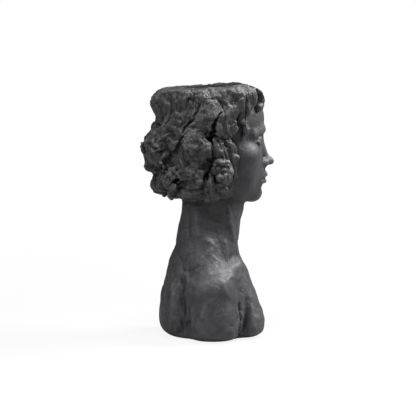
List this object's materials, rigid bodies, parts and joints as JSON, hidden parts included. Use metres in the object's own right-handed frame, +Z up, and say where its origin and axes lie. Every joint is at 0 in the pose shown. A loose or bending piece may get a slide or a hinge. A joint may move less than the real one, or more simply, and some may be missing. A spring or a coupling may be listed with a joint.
{
  "type": "head planter",
  "caption": "Hollow cast bust with thick wavy hair. Its open crown holds a plant in an oval basin with a plugged drain hole.",
  "frame": {"origin": "on the floor under the middle of the planter", "axes": "+Z up, the face looks along -Y, +X is the bust's left"},
  "size_m": [0.1774, 0.1994, 0.3792],
  "materials": {
    "cast_resin": "satin, hand-modelled texture",
    "inside_resin": "matte",
    "rubber": "matte",
    "fibre_board": "rough",
    "foam": "matte foam"
  },
  "bodies": {
    "casting": {"bust_shell": "cast_resin", "planting_basin": "inside_resin", "base_plate": "fibre_board", "foot_pad_1": "foam", "foot_pad_2": "foam", "foot_pad_3": "foam", "foot_pad_4": "foam"},
    "plug": {"drain_plug": "rubber"}
  },
  "joints": [
    {"name": "plug_lift", "type": "slide", "parent": "casting", "child": "plug", "axis": [0, 0, 1], "range_m": [0, 0.16]}
  ]
}
